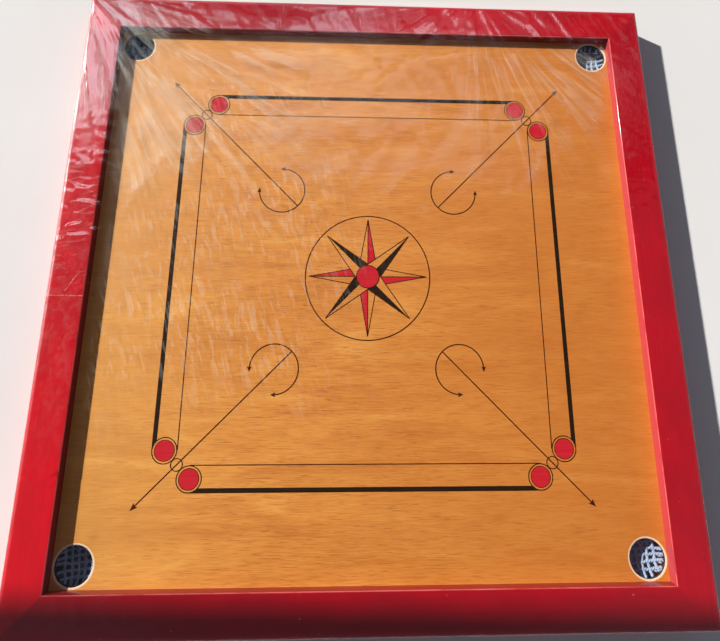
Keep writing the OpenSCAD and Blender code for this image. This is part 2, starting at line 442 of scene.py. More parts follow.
def ink(name, colour, worn):
    """Printed ink with the veneer's fibres showing faintly through it."""
    g = Graph(name)
    fibre = g.cells((14, 420, 420), 6, 0.7)
    speck = g.noise(g.place, 900.0, 3, 0.6)
    shade = g.tint(colour, (fibre, 0.35, 0.75, 0.28, worn), (speck, 0.66, 0.74, 0.5, worn))
    g.put(Base_Color=shade, Roughness=0.5, Specular_IOR_Level=0.12,
          Normal=g.bump(fibre, 0.08, 0.1 * MM))
    return g.owner


def bare_wood(name, axis, dark, light):
    g = Graph(name)
    grain = g.cells(along(axis, 300, 9), 6, 0.65, 0.4)
    pores = g.cells(along(axis, 1200, 60), 3)
    rings = g.cells(along(axis, 70, 3), 3, 0.5, 0.6)
    colour = g.ramp(grain, [(0.25, dark), (0.75, light)])
    colour = g.tint(colour, (rings, 0.4, 0.7, 0.5, dark),
                    (pores, 0.6, 0.72, 0.5, [0.5 * part for part in dark]))
    g.put(Base_Color=colour, Roughness=0.72, Normal=g.bump(grain, 0.25, 0.2 * MM))
    return g.owner


def wire_steel():
    g = Graph("wire_steel")
    smear = g.noise(g.place, 900.0, 4)
    g.put(Base_Color=g.ramp(smear, [(0.3, (0.36, 0.35, 0.33)), (0.7, (0.60, 0.60, 0.60))]),
          Metallic=1.0, Roughness=g.range(smear, 0.3, 0.7, 0.30, 0.5, smooth=False),
          Normal=g.bump(smear, 0.15, 0.05 * MM))
    return g.owner


THREADS = 4200.0


def canvas_tape():
    """Dark woven tape: a plain weave of threads along X and Y."""
    g = Graph("canvas_tape")
    x, y, _ = g.axes()
    weft, warp = (g.math("SINE", g.times(axis, THREADS)) for axis in (x, y))
    weave = g.times(weft, warp)
    fuzz = g.noise(g.place, 700.0, 4, 0.7)
    colour = g.ramp(g.range(weave, -1, 1, smooth=False),
                    [(0.0, (0.020, 0.024, 0.050)), (1.0, (0.070, 0.080, 0.130))])
    colour = g.tint(colour, (fuzz, 0.4, 0.7, 0.4, (0.11, 0.12, 0.17)))
    g.put(Base_Color=colour, Roughness=0.9, Sheen_Weight=0.3,
          Normal=g.bump(weave, 0.5, 0.15 * MM))
    return g.owner


def net_cord():
    g = Graph("net_cord")
    fuzz = g.noise(g.place, 1600.0, 4, 0.7)
    patch = g.noise(g.place, 90.0, 2)
    colour = g.ramp(fuzz, [(0.3, (0.24, 0.33, 0.49)), (0.7, (0.42, 0.53, 0.70))])
    colour = g.tint(colour, (patch, 0.4, 0.7, 0.4, (0.19, 0.25, 0.39)))
    g.put(Base_Color=colour, Roughness=0.85, Sheen_Weight=0.35, Sheen_Roughness=0.5,
          Normal=g.bump(fuzz, 0.5, 0.1 * MM))
    return g.owner


def rays(g, centre, turns, fades):
    """Streaks, in bands, that spread from a gather; fades are pairs of distances from it."""
    x, y, _ = g.axes()
    east, south = g.minus(x, centre[0]), g.minus(centre[1], y)
    away = g.distance(east, south)
    angle = g.math("ARCTAN2", south, east)

    def spread(per_radian):
        polar = g.fill(g.node("ShaderNodeCombineXYZ"), X=g.times(angle, per_radian),
                       Y=g.times(away, 6.0))
        return g.noise(polar.outputs[0], 1.0, 3, 0.6, 0.3)

    fine = g.range(spread(3.4 * turns), 0.42, 0.58, 0.35, 1.0)
    return g.fade(fine, (spread(turns), 0.48, 0.57), *((away, *limits) for limits in fades))


def crease_line(g, start, end):
    """One thin white line of the film between two points of the plan, in the diffuse paint that
    stands in for its reflections.
    """
    x, y, _ = g.axes()
    run = Vector(end) - Vector(start)
    length = run.length
    run.normalize()
    gone_x, gone_y = g.minus(x, start[0]), g.minus(y, start[1])
    gone = g.math("ADD", g.times(gone_x, run.x), g.times(gone_y, run.y))
    off = g.minus(g.times(gone_x, run.y), g.times(gone_y, run.x))
    wander = g.math("MULTIPLY_ADD", g.noise(g.place, 130.0, 3, 0.6), 3 * MM, -1.5 * MM)
    off = g.absolute(g.math("ADD", off, wander))
    faint = g.range(g.noise(g.place, 260.0, 2, 0.5), 0.38, 0.60, 0.03, 0.13)
    return g.fade(faint, (off, 1.0 * MM, 0.2 * MM), (gone, -1 * MM, 1 * MM),
                  (gone, length + 1 * MM, length - 1 * MM))


def painted_film_reflection(g):
    """Painted reflections of the creased film, in white diffuse paint: short slanting creases over
    the left half of the field, creases across the left rail, and long streaks that spread from two
    gathers."""
    x, y, _ = g.axes()
    strokes = g.range(g.slanted(0.030, 0.0068, -72, 3, 0.6, 0.7), 0.49, 0.64, 0.0, 0.062)
    patches = g.slanted(0.11, 0.06, 10, 2, 0.5, 0.5, shift=(0.3, 0.1, 0))
    strokes = g.times(strokes, g.range(patches, 0.38, 0.56, 0.25, 1.0))
    strokes = g.fade(strokes, (x, 0.06, -0.12), (y, -0.26, -0.08), (y, 0.36, 0.25))
    corner = g.times(rays(g, CORNER_GATHER, 10.0, ((0.03, 0.08), (0.54, 0.24))), 0.12)
    gather = g.times(rays(g, BACK_GATHER, 15.0, ((0.06, 0.11), (0.36, 0.18))),
                     g.range(x, 0.10, 0.20, 0.0, 0.07))
    # all of these white marks are painted reflections
    reflection_paint = g.most(strokes, g.most(corner, gather))
    # these stay inside the field, apart from the streaks over the back-left corner
    inside = g.range(g.reach(), HALF_PLAY - 12 * MM, HALF_PLAY - 34 * MM)
    reflection_paint = g.times(reflection_paint, g.most(inside, g.range(g.minus(y, x), 0.58, 0.65)))
    across = g.range(g.slanted(0.030, 0.0070, 12, 3, 0.6, 0.8), 0.53, 0.67, 0.0, 0.05)
    across = g.times(across, g.range(y, -0.08, 0.06))
    mottled = g.range(g.slanted(0.014, 0.010, 80, 5, 0.7, 0.5), 0.42, 0.68, 0.0, 0.018)
    across = g.fade(g.most(across, mottled), (x, -HALF_PLAY, -HALF_PLAY - 2 * MM),
                    (y, -0.30, -0.06), (y, 0.34, 0.22))
    reflection_paint = g.most(reflection_paint, across)
    for start, end in (SEAM, SHARP_CREASE):
        reflection_paint = g.most(reflection_paint, crease_line(g, start, end))
    return reflection_paint


def clear_film():
    """Thin clear polythene: see-through, mirroring the lights, doubled up over the rails, with
    painted reflections in white diffuse paint.
    """
    g = Graph("clear_film", "ShaderNodeMixShader")
    facing = g.fill(g.node("ShaderNodeLayerWeight"), Blend=0.5)
    grazing = g.math("POWER", facing.outputs["Facing"], 6.0)
    x, y, z = g.axes()
    reach = g.reach()
    field = g.range(reach, HALF_PLAY - 45 * MM, HALF_PLAY - 25 * MM, 0.014, 0.008)
    layers = g.range(reach, HALF_PLAY - 4 * MM, HALF_PLAY + 2 * MM, field, 0.048)
    spread = g.math("ADD", g.absolute(x), g.absolute(y))
    layers = g.math("ADD", layers, g.range(spread, 0.61, 0.70, 0.0, 0.014))
    mirror = g.math("MULTIPLY_ADD", grazing, 0.7, layers)
    mirror = g.times(mirror, g.range(reach, HALF_OUT - 4 * MM, HALF_OUT - 1 * MM, 1.0, 0.45))
    rough = g.range(reach, HALF_PLAY - 30 * MM, HALF_PLAY, 0.12, 0.07)
    border = g.fade(0.46, (reach, HALF_OUT - 8 * MM, HALF_OUT - 3.5 * MM),
                    (z, RAIL_TOP - 7 * MM, RAIL_TOP - 3 * MM))
    rough = g.most(rough, border)
    creases = g.cells((30, 14, 20), 5, 0.6, 1.2, turn=0.6)
    crinkle = g.noise(g.place, 190.0, 5, 0.6, 0.8)
    relief = g.bump(crinkle, 0.08, 0.5 * MM, g.bump(creases, 0.25, 1.5 * MM))
    for turn, shift, scale in ((0.50, (0, 0, 0), (62, 9, 30)), (1.1, (5, 3, 1), (70, 14, 30))):
        wander = g.cells(scale, 2, 0.5, 0.3, turn=turn, shift=shift)
        off = g.absolute(g.minus(wander, 0.5))
        relief = g.bump(g.range(off, 0.0, 0.05, 1.0, 0.0), 0.10, 0.4 * MM, relief)
    # strained and doubled film over the left half of the rails lets a little less light through
    strained = g.fade(g.range(creases, 0.35, 0.60, 0.4, 1.0),
                      (reach, HALF_PLAY, HALF_PLAY + 2 * MM), (x, 0.15, -0.10), (y, -0.22, 0.0))
    clear = g.fill(g.node("ShaderNodeBsdfTransparent"),
                   Color=g.mix(strained, (1, 1, 1), (0.94, 0.945, 0.95)))
    gloss = g.fill(g.node("ShaderNodeBsdfGlossy"), Roughness=rough, Normal=relief)
    sound = g.node("ShaderNodeMixShader")
    g.blend(sound, mirror, clear, gloss)
    # a white diffuse layer over the film: painted reflections of its creases
    reflection_layer = g.fill(g.node("ShaderNodeBsdfDiffuse"), Color=(0.90, 0.90, 0.76))
    g.blend(g.shader, painted_film_reflection(g), sound, reflection_layer)
    return g.owner


# ---- mesh helpers ----

def new_object(name, bm, material, slot, body=BODY, smooth=False):
    """Turns a bmesh into a piece that rides on a body, its faces turned outwards."""
    bmesh.ops.recalc_face_normals(bm, faces=bm.faces)
    made = linked(name, mesh_of(name, bm, material))
    if smooth:
        made.data.shade_smooth()
    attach(made, body)
    return made


def on_circle(radius, angle, centre=(0.0, 0.0)):
    return (centre[0] + radius * math.cos(angle), centre[1] + radius * math.sin(angle))


def arc(centre, radius, start, end, steps):
    return [on_circle(radius, math.radians(start + (end - start) * n / steps), centre)
            for n in range(steps + 1)]


def bridge(bm, one, two):
    """Quads between two closed rings of the same length."""
    for n in range(len(one)):
        m = (n + 1) % len(one)
        bm.faces.new((one[n], one[m], two[m], two[n]))


def smooth_by_angle(obj, degrees):
    """Smooth shading that stays sharp across edges steeper than an angle."""
    bm = bmesh.new()
    bm.from_mesh(obj.data)
    for face in bm.faces:
        face.smooth = True
    for edge in bm.edges:
        edge.smooth = edge.calc_face_angle(math.pi) < math.radians(degrees)
    bm.to_mesh(obj.data)
    bm.free()


# ---- rails ----

def rail_profile():
    """The rail's outline, (distance from the board's middle, height), as one closed loop."""
    steps = 7
    top_in = arc((HALF_PLAY + INNER_EDGE_R, RAIL_TOP - INNER_EDGE_R), INNER_EDGE_R, 180, 90, steps)
    top_out = arc((HALF_OUT - OUTER_EDGE_R, RAIL_TOP - OUTER_EDGE_R), OUTER_EDGE_R, 90, 0, steps)
    foot = arc((HALF_OUT - FOOT_EDGE_R, FOOT_EDGE_R), FOOT_EDGE_R, 0, -90, 4)
    across = [(HALF_PLAY + share * (HALF_OUT - HALF_PLAY), RAIL_TOP) for share in (0.25, 0.5, 0.75)]
    return (top_in + across + top_out + foot
            + [(HALF_SEAT, 0.0), (HALF_SEAT, PLAY_Z), (HALF_PLAY, PLAY_Z)])


def rail_stations():
    """Places along a rail from -1 to 1 of each line's own length, close together at the corners."""
    fine = [1 - n * CORNER_R / HALF_OUT / 6 for n in range(8)]
    count = 160
    plain = [n / count for n in range(-count + 3, count - 2)]
    return [-t for t in fine] + plain + fine[::-1]


def corner_limit(v):
    """How far out a rail reaches at v along it, where its upright corner is rounded."""
    start = HALF_OUT - CORNER_R
    past = min(max(abs(v) - start, 0.0), CORNER_R)
    return start + math.sqrt(CORNER_R ** 2 - past ** 2)


def worn(u, v, z, seed):
    """A hand-finished rail: gentle waviness, and small dents along its top edges."""
    wave = 0.10 * MM * noise.noise(Vector((v * 9, u * 20, seed)))
    edge = z > RAIL_TOP - OUTER_EDGE_R and (u < HALF_PLAY + INNER_EDGE_R
                                            or u > HALF_OUT - OUTER_EDGE_R)
    dent = max(0.0, noise.noise(Vector((v * 55, seed, z * 300))) - 0.42) if edge else 0.0
    return wave * (z > RAIL_TOP - 0.5 * MM) - 2.2 * MM * dent


def make_rail(side, index, material):
    """A mitred rail swept from its profile, then turned to its side of the board."""
    profile = rail_profile()
    ends = HALF_OUT - CORNER_R * (1 - math.sqrt(0.5))
    bm = bmesh.new()
    rings = []
    for t in rail_stations():
        ring = []
        for u, z in profile:
            v = t * min(u, ends)
            out = min(u, corner_limit(v))
            keep = abs(t) < 0.97 and z > PLAY_Z + 1 * MM
            ring.append(bm.verts.new((out, v, z + (worn(u, v, z, index) if keep else 0.0))))
        rings.append(ring)
    for one, two in zip(rings, rings[1:]):
        bridge(bm, one, two)
    bm.faces.new(rings[0])
    bm.faces.new(rings[-1])
    bm.transform(Matrix.Rotation(math.radians(90 * index - 90), 4, "Z"))
    rail = new_object("rail_" + side + "_shaped", bm, material, "red_rail")
    cut_notches(rail, index)
    smooth_by_angle(rail, 32)
    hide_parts("rail_" + side)


def cut_notches(rail, index):
    """The two notches under a rail that the batten ends lie in."""
    bm = bmesh.new()
    notch_end = BATTEN_HIGH.x
    low, high = BATTEN_LOW.y, BATTEN_HIGH.y
    for sign in (-1, 1):
        near, far = sorted((sign * low, sign * high))
        size = Vector((notch_end - HALF_SEAT + 2 * MM, far - near, BATTEN_HIGH.z + 2 * MM))
        middle = Vector((notch_end, far, BATTEN_HIGH.z)) - size / 2
        bmesh.ops.create_cube(bm, size=1, matrix=Matrix.LocRotScale(middle, None, size))
    bm.transform(Matrix.Rotation(math.radians(90 * index - 90), 4, "Z"))
    cutter = linked("notches", mesh_of("notches", bm))
    boolean = rail.modifiers.new("notches", "BOOLEAN")
    boolean.operation = "DIFFERENCE"
    boolean.object = cutter
    graph = bpy.context.evaluated_depsgraph_get()
    cut = bpy.data.meshes.new_from_object(rail.evaluated_get(graph))
    rail.modifiers.clear()
    rail.data = cut
    bpy.data.objects.remove(cutter)


# ---- panel ----

def pocket_ring(bm, centre, radius, z, count=96):
    return [bm.verts.new((*on_circle(radius, 2 * math.pi * n / count, centre), z))
            for n in range(count)]


def ring_edges(bm, ring):
    return [bm.edges.get(pair) for pair in zip(ring, ring[1:] + ring[:1])]


def make_panel(material):
    """The plywood panel with four round pockets, their top edges eased."""
    half = PANEL_HIGH.x
    steps = 5
    bm = bmesh.new()
    square = [(-half, -half), (half, -half), (half, half), (-half, half)]
    top = [bm.verts.new((x, y, PLAY_Z)) for x, y in square]
    bottom = [bm.verts.new((x, y, PANEL_LOW.z)) for x, y in square]
    bridge(bm, top, bottom)
    top_edges, bottom_edges = ring_edges(bm, top), ring_edges(bm, bottom)
    for centre in POCKETS:
        rings = []
        for n in range(steps + 1):
            angle = math.radians(90 * n / steps)
            eased = RIM_R - (RIM_R - POCKET_R) * math.sin(angle)
            drop = RIM_DROP * (1 - math.cos(angle))
            rings.append(pocket_ring(bm, centre, eased, PLAY_Z - drop))
        rings.append(pocket_ring(bm, centre, POCKET_R, PANEL_LOW.z))
        for one, two in zip(rings, rings[1:]):
            bridge(bm, one, two)
        top_edges += ring_edges(bm, rings[0])
        bottom_edges += ring_edges(bm, rings[-1])
    for edges in (top_edges, bottom_edges):
        bmesh.ops.triangle_fill(bm, edges=edges, use_beauty=True)
    panel = new_object("playing_panel_varnished", bm, material, "varnished_ply")
    smooth_by_angle(panel, 40)
    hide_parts("playing_panel")


# ---- printed markings ----

BASE_AT = 252.3 * MM
BASE_END = 219.5 * MM
BASE_RING_R = 15.9 * MM
BASE_DISC_R = 12.4 * MM
BASE_BAR = 5.7 * MM
DOT_AT = 235.85 * MM
DOT_R = 7.2 * MM
LINE = 1.5 * MM
RING_LINE = 1.15 * MM
ARC_AT = 121.75 * MM
ARC_R = 31.8 * MM
ARROW_TIP = 287 * MM
ARROW_HEAD_L, ARROW_HEAD_W = 9 * MM, 7.2 * MM
ARC_HEAD_L, ARC_HEAD_W = 7 * MM, 6 * MM
CENTRE_R = 85 * MM
STAR_R = 80 * MM
STAR_WAIST_R = 17.2 * MM
CENTRE_DISC_R = 15.5 * MM
INK_T = 0.12 * MM


class Ink:
    """Collects flat shapes and lays them on the panel as one thin solid piece."""

    def __init__(self, level):
        self.bm = bmesh.new()
        self.z = PLAY_Z + level * 0.03 * MM

    def polygon(self, points, turn=0):
        rotation = Matrix.Rotation(math.radians(turn), 3, "Z")
        top, bottom = ([self.bm.verts.new(rotation @ Vector((x, y, z))) for x, y in points]
                       for z in (self.z + INK_T / 2, self.z - INK_T / 2))
        bridge(self.bm, top, bottom)
        self.bm.faces.new(top)
        self.bm.faces.new(bottom[::-1])

    def band(self, inner, outer, turn=0, closed=False):
        """A strip between two rows of points."""
        rotation = Matrix.Rotation(math.radians(turn), 3, "Z")
        low, high = self.z - INK_T / 2, self.z + INK_T / 2
        rows = [[self.bm.verts.new(rotation @ Vector((x, y, z))) for x, y in side]
                for side, z in ((inner, high), (outer, high), (outer, low), (inner, low))]
        count = len(inner)
        for n in range(count if closed else count - 1):
            m = (n + 1) % count
            for a, b in zip(rows, rows[1:] + rows[:1]):
                self.bm.faces.new((a[n], a[m], b[m], b[n]))
        if not closed:
            self.bm.faces.new([row[0] for row in rows])
            self.bm.faces.new([row[-1] for row in rows[::-1]])

    def disc(self, centre, radius, turn=0):
        self.polygon(arc(centre, radius, 0, 360, 96)[:-1], turn)

    def ring(self, centre, radius, width, turn=0):
        self.band(arc(centre, radius - width / 2, 0, 360, 128)[:-1],
                  arc(centre, radius + width / 2, 0, 360, 128)[:-1], turn, closed=True)

    def line(self, start, end, width, turn=0):
        a, b = Vector(start), Vector(end)
        side = (b - a).normalized().orthogonal() * width / 2
        self.band([a + side, b + side], [a - side, b - side], turn)

    def arrowhead(self, tip, direction, length, width, turn=0):
        """A barbed head: a triangle whose back edge is notched."""
        point, along_it = Vector(tip), Vector(direction).normalized()
        side = along_it.orthogonal() * width / 2
        back = point - along_it * length
        self.polygon([point, back + side, back + along_it * length * 0.18, back - side], turn)


def base_bars(black):
    """The four thick base lines, each end hollowed to the base circle beside it."""
    low = -(BASE_AT + BASE_RING_R)
    reach = math.degrees(math.acos((BASE_RING_R - BASE_BAR) / BASE_RING_R))
    ends = arc((BASE_END, -BASE_AT), BASE_RING_R, -90, -90 - reach, 8)
    right = [(x, max(y, low)) for x, y in ends]
    left = [(-x, y) for x, y in right[::-1]]
    for turn in QUARTERS:
        black.polygon(left + right, turn)


def make_markings():
    black = ink("black_ink", (0.012, 0.006, 0.001), (0.07, 0.022, 0.006)), "black_ink"
    brown = ink("brown_ink", (0.040, 0.006, 0.001), (0.16, 0.035, 0.006)), "brown_ink"
    red = ink("red_ink", (0.52, 0.010, 0.022), (0.64, 0.06, 0.05)), "red_ink"

    back_red, front_black = Ink(0), Ink(2)
    lines, heads, discs, bars = Ink(3), Ink(5), Ink(1), Ink(1)
    base_bars(bars)
    for turn in QUARTERS:
        # the fine base line, tangent to the base circles on their inner side
        fine_y = -(BASE_AT - BASE_RING_R)
        lines.line((-BASE_END, fine_y), (BASE_END, fine_y), LINE * 0.8, turn)
        for sign in (-1, 1):
            centre = (sign * BASE_END, -BASE_AT)
            lines.ring(centre, BASE_RING_R - RING_LINE / 2, RING_LINE * 1.1, turn)
            lines.ring(centre, BASE_DISC_R, RING_LINE * 0.7, turn)
            discs.disc(centre, BASE_DISC_R - RING_LINE * 0.2, turn)
        heads.ring((DOT_AT, -DOT_AT), DOT_R, RING_LINE, turn)
        start = ARC_AT - ARC_R * math.sqrt(0.5)
        stop = ARROW_TIP - 5 * MM
        lines.line((start, -start), (stop, -stop), LINE, turn)
        heads.arrowhead((ARROW_TIP, -ARROW_TIP), (1, -1), ARROW_HEAD_L, ARROW_HEAD_W, turn)
        middle = (ARC_AT, -ARC_AT)
        lines.band(arc(middle, ARC_R - LINE / 2, 0, 270, 90),
                   arc(middle, ARC_R + LINE / 2, 0, 270, 90), turn)
        for tip, direction in (((ARC_AT + ARC_R, -ARC_AT - ARC_HEAD_L / 2), (0, -1)),
                               ((ARC_AT + ARC_HEAD_L / 2, -ARC_AT - ARC_R), (1, 0))):
            heads.arrowhead(tip, direction, ARC_HEAD_L, ARC_HEAD_W, turn)
    lines.ring((0, 0), CENTRE_R, LINE)
    make_star(back_red, front_black, lines, heads)
    top_disc, top_ring = Ink(7), Ink(8)
    top_disc.disc((0, 0), CENTRE_DISC_R)
    top_ring.ring((0, 0), CENTRE_DISC_R, LINE * 0.8)

    for shapes, name, printed in (
            (bars, "ink_base_lines", black), (discs, "ink_base_discs", red),
            (lines, "ink_fine_lines", brown), (heads, "ink_arrowheads", brown),
            (back_red, "ink_star_red", red), (front_black, "ink_star_black", black),
            (top_disc, "ink_centre_disc", red), (top_ring, "ink_centre_ring", brown)):
        new_object(name, shapes.bm, *printed)


def make_star(red, black, lines, heads):
    """Two four-point stars: red-halved spikes along the axes, black-halved ones across them."""
    diagonal = math.sqrt(0.5) * STAR_WAIST_R
    slope = diagonal / (STAR_R - diagonal)
    # where a straight spike's edge goes under the crossing star's edge
    meet = crossing(slope)
    for turn in QUARTERS:
        red.polygon([(0.0, STAR_WAIST_R), meet, (0.0, STAR_R)], turn)
        black.polygon([(0.5 * MM, 1.2 * MM), (diagonal, diagonal), (0.0, STAR_R)], turn - 45)
        for flip in (-1, 1):
            lines.line((flip * meet[0], meet[1]), (0.0, STAR_R), LINE * 0.75, turn)
            heads.line((flip * diagonal, diagonal), (0.0, STAR_R), LINE * 0.75, turn - 45)
        lines.line((0.0, STAR_WAIST_R), (0.0, STAR_R), LINE * 0.75, turn)


def crossing(slope):
    """Where the right edge of the spike along +Y meets the left edge of the spike at 45 degrees."""
    # the first is x = slope * (STAR_R - y); the second runs from the waist on +Y to a tip
    tip = Vector((STAR_R, STAR_R)) * math.sqrt(0.5)
    waist = Vector((0.0, STAR_WAIST_R))
    run = tip - waist
    share = (slope * (STAR_R - waist.y) - waist.x) / (run.x + slope * run.y)
    return tuple(waist + run * share)


# ---- nets ----

NET_PITCH = 7.8 * MM
PLY_R = 1.2 * MM
PLY_TWIST = 7 * MM
PLY_STEP = 0.9 * MM
CORD_REACH = 2.2 * MM


def net_height(radius):
    """Height of the net's cord at a distance from the pocket's middle."""
    mouth = NET_HIGH.x - POCKET_AT
    share = min(radius / mouth, 1.0)
    depth = NET_HIGH.z - NET_LOW.z - 2 * CORD_REACH
    return NET_HIGH.z - CORD_REACH - depth * (1 - share ** 4) ** 0.7


def tube(bm, points, radius, sides=6, closed=False):
    """A round tube along points, in one piece with capped ends."""
    count = len(points)
    rings = []
    side = None
    for n, point in enumerate(points):
        before = points[n - 1] if n or closed else point
        after = points[(n + 1) % count] if n + 1 < count or closed else point
        ahead = (after - before).normalized()
        side = ahead.orthogonal() if side is None else side - ahead * side.dot(ahead)
        side.normalize()
        up = ahead.cross(side)
        rings.append([bm.verts.new(point + radius * (side * math.cos(a) + up * math.sin(a)))
                      for a in (2 * math.pi * k / sides for k in range(sides))])
    for one, two in zip(rings, rings[1:]):
        bridge(bm, one, two)
    if closed:
        bridge(bm, rings[-1], rings[0])
    else:
        bm.faces.new(rings[0][::-1])
        bm.faces.new(rings[-1])


def resampled(points, step):
    """The same polyline with points a step apart."""
    out, left = [points[0]], step
    for a, b in zip(points, points[1:]):
        length = (b - a).length
        at = left
        while at < length:
            out.append(a.lerp(b, at / length))
            at += step
        left = at - length
    out.append(points[-1])
    return out


def twisted_pair(bm, points, phase):
    """Two plies wound round each other along a line."""
    line = resampled(points, PLY_STEP)
    for ply in (0, math.pi):
        wound = []
        for n, point in enumerate(line):
            ahead = (line[min(n + 1, len(line) - 1)] - line[max(n - 1, 0)]).normalized()
            side = ahead.cross(Vector((0, 0, 1))).normalized()
            up = side.cross(ahead)
            angle = phase + ply + 2 * math.pi * n * PLY_STEP / PLY_TWIST
            wound.append(point + 0.8 * PLY_R * (side * math.cos(angle) + up * math.sin(angle)))
        tube(bm, wound, PLY_R)


def knot(bm, point, spin):
    """A small hard knot: two closed turns of cord that cross."""
    for tilt in (-0.6, 0.6):
        turn = Matrix.Rotation(spin, 3, "Z") @ Matrix.Rotation(tilt, 3, "X")
        loop = [point + turn @ Vector((1.5 * MM * math.cos(a), 1.2 * MM * math.sin(a), 0.0))
                for a in (2 * math.pi * n / 12 for n in range(12))]
        tube(bm, loop, 0.8 * PLY_R, closed=True)


def net_nodes(draw, mouth):
    """Knot places on a slightly uneven square grid, laid into the bowl of the net."""
    reach = int(mouth / NET_PITCH) + 1
    nodes = {}
    for i in range(-reach, reach + 1):
        for j in range(-reach, reach + 1):
            x = (i + draw.uniform(-0.14, 0.14)) * NET_PITCH
            y = (j + draw.uniform(-0.14, 0.14)) * NET_PITCH
            nodes[i, j] = Vector((x, y))
    return nodes, reach


def strand(points, mouth):
    """A run of grid points cut off where it reaches the hem, with heights added."""
    inside = [p for p in points if p.length < mouth - 1.2 * MM]
    if len(inside) < 2:
        return None
    first, last = inside[0], inside[-1]
    flat = ([cut_to(first, first - inside[1], mouth)] + inside
            + [cut_to(last, last - inside[-2], mouth)])
    fine = resampled(flat, 1.2 * MM)
    return [Vector((*place, net_height(place.length))) for place in fine]


def cut_to(point, direction, radius):
    """Where a line from inside a circle leaves it."""
    d = direction.normalized()
    b = point.dot(d)
    return point + d * (-b + math.sqrt(b * b - point.length_squared + radius ** 2))


def make_net(corner, index, material):
    """A hand-knotted cord net, hung from the hem under one pocket."""
    draw = random.Random(11 + index)
    mouth = NET_HIGH.x - POCKET_AT - 1.1 * MM
    nodes, reach = net_nodes(draw, mouth)
    bm = bmesh.new()
    span = range(-reach, reach + 1)
    runs = [[nodes[i, j] for i in span] for j in span] + [[nodes[i, j] for j in span] for i in span]
    for run in runs:
        line = strand(run, mouth)
        if line:
            twisted_pair(bm, line, draw.uniform(0, 6))
    for place in nodes.values():
        if place.length < mouth - 2.5 * MM:
            knot(bm, Vector((*place, net_height(place.length))), draw.uniform(0, 3))
    turn = Matrix.Rotation(draw.uniform(-0.12, 0.12), 4, "Z")
    bm.transform(Matrix.Translation((*POCKETS[index], 0)) @ turn)
    net = new_object("net_" + corner + "_knotted", bm, material, "net_cord", smooth=True)
    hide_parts("net_" + corner)


# ---- packing film ----

FILM_STEP = 2.6 * MM
FILM_T = 0.1 * MM
FILM_FLOAT = 0.65 * MM
FILM_SAG = 3.8 * MM
FILM_SLOPE = 42 * MM
FILM_ROOF = 1.5 * MM
FILM_ROUND_R = 3.4 * MM
NOISE_TABLE = 61


def value_noise(rng, x, y, size_x, size_y, turn=0.0):
    """Smooth noise from -1 to 1 at arrays of places, in cells of the given size."""
    table = rng.uniform(-1, 1, (NOISE_TABLE, NOISE_TABLE))
    shift_u, shift_v = rng.uniform(0, NOISE_TABLE, 2)
    u = (x * math.cos(turn) + y * math.sin(turn)) / size_x + shift_u
    v = (y * math.cos(turn) - x * math.sin(turn)) / size_y + shift_v
    i, j = np.floor(u).astype(int), np.floor(v).astype(int)
    s, t = u - i, v - j
    s, t = s * s * s * (s * (s * 6 - 15) + 10), t * t * t * (t * (t * 6 - 15) + 10)

    def at(a, b):
        return table[a % NOISE_TABLE, b % NOISE_TABLE]

    low = at(i, j) * (1 - s) + at(i + 1, j) * s
    high = at(i, j + 1) * (1 - s) + at(i + 1, j + 1) * s
    return low * (1 - t) + high * t


def fold(x, y, start, angle, length, width, height):
    """A ridge of film along a line, highest at its middle and steeper on one side."""
    run_x, run_y = math.cos(math.radians(angle)), math.sin(math.radians(angle))
    gone_x, gone_y = x - start[0], y - start[1]
    share = np.clip((gone_x * run_x + gone_y * run_y) / length, 0, 1)
    across = (gone_x * run_y - gone_y * run_x) / width
    across = np.where(across > 0, across * 0.75, across * 1.3)
    return height * np.sin(math.pi * share) ** 0.7 * np.exp(-across * across)


def fan(rng, x, y, centre, radius, height):
    """Creases that radiate from a gather in the film and die away with distance."""
    away = np.hypot(x - centre[0], y - centre[1])
    angle = np.arctan2(y - centre[1], x - centre[0])
    narrow = value_noise(rng, angle, away, math.radians(2.6), 0.16)
    broad = value_noise(rng, angle, away, math.radians(6.5), 0.20)
    fade = np.clip(away / 0.03, 0, 1) * np.clip(1 - away / radius, 0, 1) ** 0.8
    return height * (0.55 * narrow + broad) * fade


CORNER_RIDGES = 14
FRONT_RIDGES = 24
# scattered ridges: how many, then the lowest and highest start X and Y, angle in degrees,
# length in metres, and width and height in millimetres
SCATTERED = (
    (64, (-0.432, -0.375), (0.03, 0.235), (-32, 24), (0.02, 0.06), (2.8, 4.2), (0.5, 1.2)),
    (22, (-0.43, -0.36), (-0.20, 0.03), (-50, 30), (0.015, 0.04), (2.8, 3.8), (0.15, 0.5)),
    (26, (0.36, 0.405), (-0.15, 0.36), (-75, 10), (0.015, 0.05), (2.8, 4.2), (0.3, 0.8)),
    (60, (-0.36, 0.34), (-0.20, 0.36), (-80, -35), (0.03, 0.14), (3.5, 8), (0.2, 0.8)),
)


def film_folds(x, y):
    """Single ridges: from the back-left corner, along the front rail, and scattered across the
    side rails and the field."""
    spread = random.Random(5).uniform
    lift = np.zeros_like(x)

    def ridge(start, angle, length, width, height):
        return fold(x, y, start, angle, spread(*length), spread(*width) * MM, spread(*height) * MM)

    for n in range(CORNER_RIDGES):
        start = (-HALF_OUT + (4 + 9 * n) * MM, HALF_OUT - spread(0, 6) * MM)
        lift += ridge(start, -82 + 3.6 * n + spread(-2, 2), (0.12, 0.40), (3, 5.5), (0.4, 1.2))
    for n in range(FRONT_RIDGES):
        place = -0.38 + 0.76 * n / (FRONT_RIDGES - 1)
        start = (place + spread(-12, 12) * MM, -HALF_OUT + spread(-4, 6) * MM)
        lift += ridge(start, spread(98, 124), (0.035, 0.09), (3, 5), (0.2, 0.6))
    for count, across, up, angle, *sizes in SCATTERED:
        for _ in range(count):
            start = (spread(*across), spread(*up))
            lift += ridge(start, spread(*angle), *sizes)
    return lift


